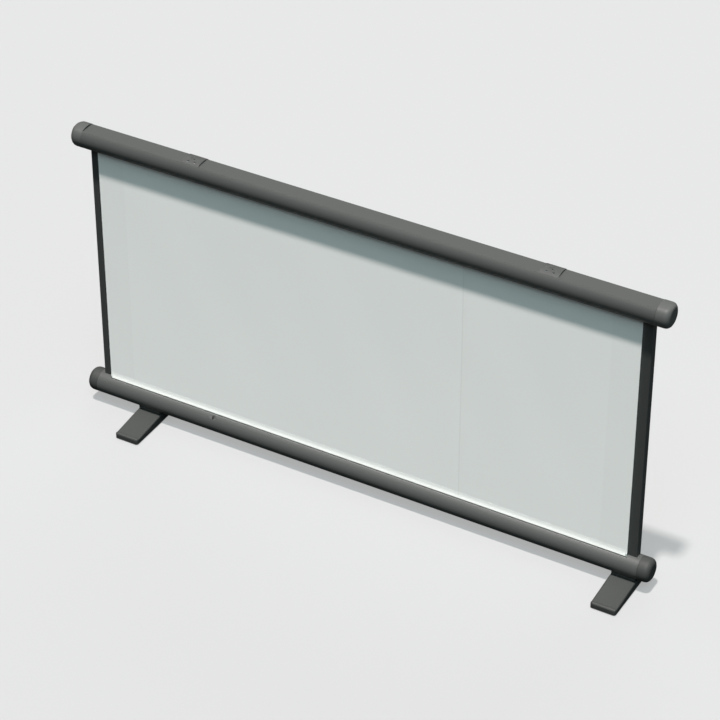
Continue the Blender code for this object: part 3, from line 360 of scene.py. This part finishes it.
sheet_low, sheet_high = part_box("screen_fabric")
width = sheet_high.x - sheet_low.x
hang = sheet_high.z - sheet_low.z
seam_places = (-SEAM_HALF - SEAM_LIP, -SEAM_HALF, SEAM_HALF, SEAM_HALF + SEAM_LIP)
columns = sorted(
    [sheet_low.x + width * i / SHEET_COLUMNS for i in range(SHEET_COLUMNS + 1)]
    + [SEAM_X + place for place in seam_places]
)
rows = [sheet_low.z + hang * i / SHEET_ROWS for i in range(SHEET_ROWS + 1)]
loops = []
for x in columns:
    sunk = SEAM_DEPTH if abs(x - SEAM_X) < SEAM_HALF + SEAM_LIP / 2 else 0
    waves = [wave(x, z, (z - sheet_low.z) / hang) for z in rows]
    front = [(x, sheet_low.y + deep + sunk, z) for deep, z in zip(waves, rows)]
    back = [(x, sheet_high.y + deep, z) for deep, z in zip(waves, rows)]
    loops.append(front + back[::-1])
sheet = skin("sheet_hanging", loops, cloth, "frame")
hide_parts("screen_fabric")
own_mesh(sheet)

# A narrow band of the same cloth is welded along the foot of the sheet, over the hem bar's edge.
# It thickens downwards, so its face tips up to the light and shows as a bright line.
HEM_HEIGHT = 10 * MM
HEM_SWELL = 0.85 * MM
HEM_EDGE = 0.1 * MM
HEM_STEPS = 8


def across_sheet(outline):
    """An outline of (y, z) points at both ends of the sheet's width."""
    return [[(x, y, z) for y, z in outline] for x in (sheet_low.x, sheet_high.x)]


foot_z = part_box("hem_bar")[1].z + HEM_EDGE
face = sheet_low.y - HEM_EDGE / 2
outline = [(face, foot_z), (face, foot_z + HEM_HEIGHT)]
for i in range(HEM_STEPS + 1):
    down = i / HEM_STEPS
    outline.append((face - HEM_EDGE - HEM_SWELL * down ** 2, foot_z + HEM_HEIGHT * (1 - down)))
band = skin("sheet_hem", across_sheet(outline), cloth, "screen")

# The last turns of the sheet never leave the roller: a spiral of the same cloth, fixed to the
# tube along its inner edge. Their grip on the tube carries the bar, so the fixing isn't pulled.
CLOTH_THICKNESS = 0.35 * MM
INNER_GAP = 0.05 * MM
PITCH = 0.4 * MM
TURN_STEPS = 48
low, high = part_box("fabric_roll")
centre = (low + high) / 2
outer = (high.z - low.z) / 2
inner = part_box("roller_tube")[1].z - centre.z + INNER_GAP
turns = (outer - inner - CLOTH_THICKNESS) / PITCH
count = ceil(turns * TURN_STEPS)
outline = []
for thickness in (CLOTH_THICKNESS, 0):
    ring = []
    for i in range(count + 1):
        turn = pi + 2 * pi * turns * i / count
        radius = inner + thickness + PITCH * turns * i / count
        ring.append((centre.y + radius * cos(turn), centre.z + radius * sin(turn)))
    outline += ring if thickness else ring[::-1]
wound = skin("sheet_turns", across_sheet(outline), cloth, "roller")
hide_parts("fabric_roll")

# The hem bar is an aluminium extrusion in white satin enamel, plugged at both ends. Its sloping
# top stands out of the base tube's slot, and a dark line of painted shade runs along the slope's
# foot, where the slot's lip shades it. It lands on a strip of dull black rubber inside the tube.
HEM_SLOPE = 6.8 * MM
PAINTED_SHADE_HALF = 1.2 * MM
PAINTED_SHADE_GREY = "#3E403F"
RUBBER_GRIT = 1.5 * MM
white_enamel, shader = finish("white_enamel_on_extruded_aluminium", "#DEE3E1", roughness=0.4)
grain(white_enamel, shader, DRAW_LINE, tone=0.01, gloss=0.04, height=0.002 * MM, stretch=DRAWN)
unshaded_enamel = shader.inputs["Base Color"].links[0].from_socket
place = add(white_enamel, "TexCoord")
apart = add(white_enamel, "SeparateXYZ", {"Vector": place.outputs["Object"]})
# A band of painted shade, dark grey, along the foot of the slope where the slot's lip meets it.
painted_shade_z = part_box("hem_bar")[1].z - HEM_SLOPE + PAINTED_SHADE_HALF
painted_shade_line = add(white_enamel, "Math", {0: apart.outputs["Z"], 1: painted_shade_z, 2: PAINTED_SHADE_HALF}, operation="COMPARE")
with_painted_shade = add(white_enamel, "Mix", {
    "Factor": painted_shade_line.outputs[0], "A": unshaded_enamel, "B": linear(PAINTED_SHADE_GREY),
}, data_type="RGBA")
join(white_enamel, with_painted_shade.outputs["Result"], shader.inputs["Base Color"])
for node in ("hem_bar", "hem_plug_left", "hem_plug_right"):
    dress(node, white_enamel, FINE_EDGE)
black_rubber, shader = finish("black_rubber", "#1C1D1D", roughness=0.8)
grain(black_rubber, shader, RUBBER_GRIT, tone=0.10, gloss=0.05, height=0.02 * MM)
dress("hem_cushion", black_rubber, FINE_EDGE)

# The posts are rectangular steel tubes in a fine black powder coat, which has a dry, sandy
# texture about a millimetre across, drawn here at twice that. Nylon blocks clamp their ends,
# held by black pan-head screws through the walls of the casing and the base tube.
POWDER_GRIT = 2 * MM
POST_EDGE = 0.8 * MM
SCREW_GAP = 0.3 * MM
powder_coat, shader = finish("black_powder_coat", "#373B3A", roughness=0.55)
grain(powder_coat, shader, POWDER_GRIT, tone=0.10, gloss=0.05, height=0.03 * MM)
for side in ("left", "right"):
    dress("post_" + side, powder_coat, POST_EDGE)
    dress("post_anchor_top_" + side, moulded_nylon, edge=0)
    dress("post_anchor_base_" + side, moulded_nylon, edge=0)
for number in range(1, 5):
    node = "post_screw_%d" % number
    low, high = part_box(node)
    head = (low + high) / 2
    tube_low, tube_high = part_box("casing" if number % 2 else "base_tube")
    axis_y = (tube_low.y + tube_high.y) / 2
    radius = tube_high.y - axis_y
    axis_z = tube_low.z + radius
    outward = Vector((0, head.y - axis_y, head.z - axis_z)).normalized()
    under_head = Vector((head.x, axis_y, axis_z)) + outward * (radius + SCREW_GAP)
    pan = driven(
        "tube_screw_%d" % number, under_head, outward, PAN_SCREW, cross_recess, CROSS_DEPTH,
        powder_coat, "frame",
    )
    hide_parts(node)

# The base tube is the same extrusion work as the casing, with a slot along its top for the hem
# bar and a finger dish by the catch. Its caps are die-cast too, in a duller and darker enamel
# that stands up to knocks and hides them.
dress("base_tube", enamel_on_extrusion)
dull_enamel, shader = finish(
    "dull_enamel_on_cast_aluminium", "#363938", roughness=0.62, specular=ENAMEL_SPECULAR
)
grain(dull_enamel, shader, CAST_SKIN, tone=0.05, gloss=0.04, height=CAST_HEIGHT)
for cap in ("base_cap_left", "base_cap_right"):
    dress(cap, dull_enamel)

# Two saddles of the same extruded aluminium slide along the rail of the casing's crown. Each is
# locked by two zinc-plated grub screws with hexagonal sockets.
HEX_HALF_WIDTH = 1.0 * MM
HEX_DEPTH = 1.6 * MM
GRUB_RADIUS = 2.0 * MM
GRUB_BREAK = 0.2 * MM


def hex_socket(turn):
    """How far a hexagonal socket reaches from a screw's axis, at an angle round it."""
    return HEX_HALF_WIDTH / cos((turn + pi / 6) % (pi / 3) - pi / 6)


for side in ("left", "right"):
    dress("saddle_" + side, enamel_on_extrusion)
for number in range(1, 5):
    node = "saddle_screw_%d" % number
    saddle = "left_saddle" if number < 3 else "right_saddle"
    low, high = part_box(node)
    foot = Vector(((low.x + high.x) / 2, (low.y + high.y) / 2, low.z))
    length = high.z - low.z
    grub_screw = [
        (0, GRUB_RADIUS - GRUB_BREAK), (GRUB_BREAK, GRUB_RADIUS),
        (length - GRUB_BREAK, GRUB_RADIUS), (length, GRUB_RADIUS - GRUB_BREAK),
    ]
    grub = driven(
        "grub_screw_%d" % number, foot, Vector((0, 0, 1)), grub_screw, hex_socket, HEX_DEPTH,
        zinc_plated_steel, saddle,
    )
    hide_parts(node)

# The catch is a button of moulded black nylon on a small coil spring, in the dish beside the
# hem bar, where it shows as a dark spot.
CATCH_WIRE = 0.3 * MM
CATCH_TURNS = 5
CATCH_STEPS = 24
CATCH_EDGE = 0.15 * MM
CATCH_CLOUD = 2 * MM
UPRIGHT = 2
black_nylon, shader = finish("moulded_black_nylon", "#131414", roughness=0.5)
grain(black_nylon, shader, CATCH_CLOUD, tone=0.10, gloss=0.05, height=0.004 * MM)
dress("catch_button", black_nylon, CATCH_EDGE)
spring = coil("catch_coil", "catch_spring", UPRIGHT, CATCH_WIRE, CATCH_TURNS, CATCH_STEPS)
low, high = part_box("catch_spring")
length = high.z - low.z
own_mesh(spring)

# The feet are aluminium castings on a pivot bolt, each hung from a block and a nut in the base
# tube's channel, with a nylon washer between. They stand on black rubber pads, and have the
# dull enamel of the base caps.
FOOT_EDGE = 0.4 * MM
for side in ("left", "right"):
    dress("foot_arm_" + side, dull_enamel, FOOT_EDGE)
    dress("foot_block_" + side, powder_coat)
    dress("foot_nut_" + side, zinc_plated_steel, FINE_EDGE)
    dress("foot_washer_" + side, moulded_nylon, FINE_EDGE)
    dress("foot_bolt_" + side, zinc_plated_steel, FINE_EDGE)
    for end in ("front", "rear"):
        dress("foot_pad_%s_%s" % (side, end), black_rubber)

# The studio has a plain pale floor. Bounced and mirrored light sees it dark, so that the
# undersides stay deep, and the camera sees a glow in it, so that its shadows stay soft.
FLOOR_HALF = 40
FLOOR_DROP = 0.1 * MM
FLOOR_PALE = "#727576"
FLOOR_BOUNCE = "#191B1C"
FLOOR_GLOW = 0.36
floor_paint, shader = finish("studio_floor", FLOOR_PALE, roughness=0.9)
path = add(floor_paint, "LightPath")
paint = add(floor_paint, "Mix", {
    "Factor": path.outputs["Is Camera Ray"], "A": linear(FLOOR_BOUNCE), "B": linear(FLOOR_PALE),
}, data_type="RGBA")
join(floor_paint, paint.outputs["Result"], shader.inputs["Base Color"])
glow = add(floor_paint, "Math", {0: path.outputs["Is Camera Ray"], 1: FLOOR_GLOW}, operation="MULTIPLY")
shader.inputs["Emission Color"].default_value = linear("#FFFFFF")
join(floor_paint, glow.outputs[0], shader.inputs["Emission Strength"])
floor_z = cad_box[0].z - FLOOR_DROP
data = bpy.data.meshes.new("studio_floor")
corners = [(-1, -1), (1, -1), (1, 1), (-1, 1)]
data.from_pydata([(x * FLOOR_HALF, y * FLOOR_HALF, floor_z) for x, y in corners], [], [(0, 1, 2, 3)])
data.materials.append(floor_paint)
floor = bpy.data.objects.new("studio_floor", data)
bpy.context.collection.objects.link(floor)

# A high key from the front lays the casing's shadow on the sheet. Broad lamps fill in from the
# front, the right and the back, and the room adds a little from all round.
ROOM_LIGHT = 0.04
ROOM_SEEN = 0.8


def towards(azimuth, elevation):
    """The way to a lamp or camera: azimuth 0 is the front, elevation is above the floor."""
    turn, rise = radians(azimuth), radians(elevation)
    return Vector((sin(turn) * cos(rise), -cos(turn) * cos(rise), sin(rise)))


def lamp(name, strength, colour, azimuth, elevation, angle, mirrored=True):
    """A distant lamp that looks an angle wide, all angles in degrees."""
    data = bpy.data.lights.new(name, "SUN")
    data.energy = strength
    data.color = linear(colour)[:3]
    data.angle = radians(angle)
    sun = bpy.data.objects.new(name, data)
    sun.rotation_mode = "QUATERNION"
    sun.rotation_quaternion = towards(azimuth, elevation).to_track_quat("Z", "Y")
    sun.visible_glossy = mirrored
    bpy.context.collection.objects.link(sun)


lamp("key", 6.0, "#FFF4F0", azimuth=0, elevation=77.5, angle=3)
lamp("fill", 1.45, "#E2FCFF", azimuth=24, elevation=59, angle=40)
lamp("side", 0.4, "#E2FCFF", azimuth=85, elevation=15, angle=50)
lamp("back", 1.8, "#FFFFFF", azimuth=200, elevation=18, angle=60, mirrored=False)
room = bpy.data.worlds.new("room")
room.use_nodes = True
bpy.context.scene.world = room
sky = room.node_tree.nodes["Background"]
sky.inputs["Color"].default_value = linear("#FFFFFF")
path = add(room, "LightPath")
level = add(room, "MapRange", {
    "Value": path.outputs["Is Camera Ray"], "To Min": ROOM_LIGHT, "To Max": ROOM_SEEN,
})
join(room, level.outputs["Result"], sky.inputs["Strength"])

# The camera stands to the right of the front and looks down on it. Its lens is long and it
# stands well back, so the tubes, which slant across the picture, stay nearly parallel.
CAMERA_AZIMUTH = 29.693
CAMERA_ELEVATION = 35.52
CAMERA_DISTANCE = 6.4877
CAMERA_LENS = 143.03
CAMERA_SENSOR = 36
CAMERA_TARGET = Vector((-2 * MM, 32 * MM, 366.9 * MM))
back = towards(CAMERA_AZIMUTH, CAMERA_ELEVATION)
data = bpy.data.cameras.new("camera")
data.lens = CAMERA_LENS
data.sensor_width = CAMERA_SENSOR
camera = bpy.data.objects.new("camera", data)
camera.location = CAMERA_TARGET + back * CAMERA_DISTANCE
camera.rotation_mode = "QUATERNION"
camera.rotation_quaternion = back.to_track_quat("Z", "Y")
bpy.context.collection.objects.link(camera)
bpy.context.scene.camera = camera
bpy.context.scene.view_settings.view_transform = "Standard"
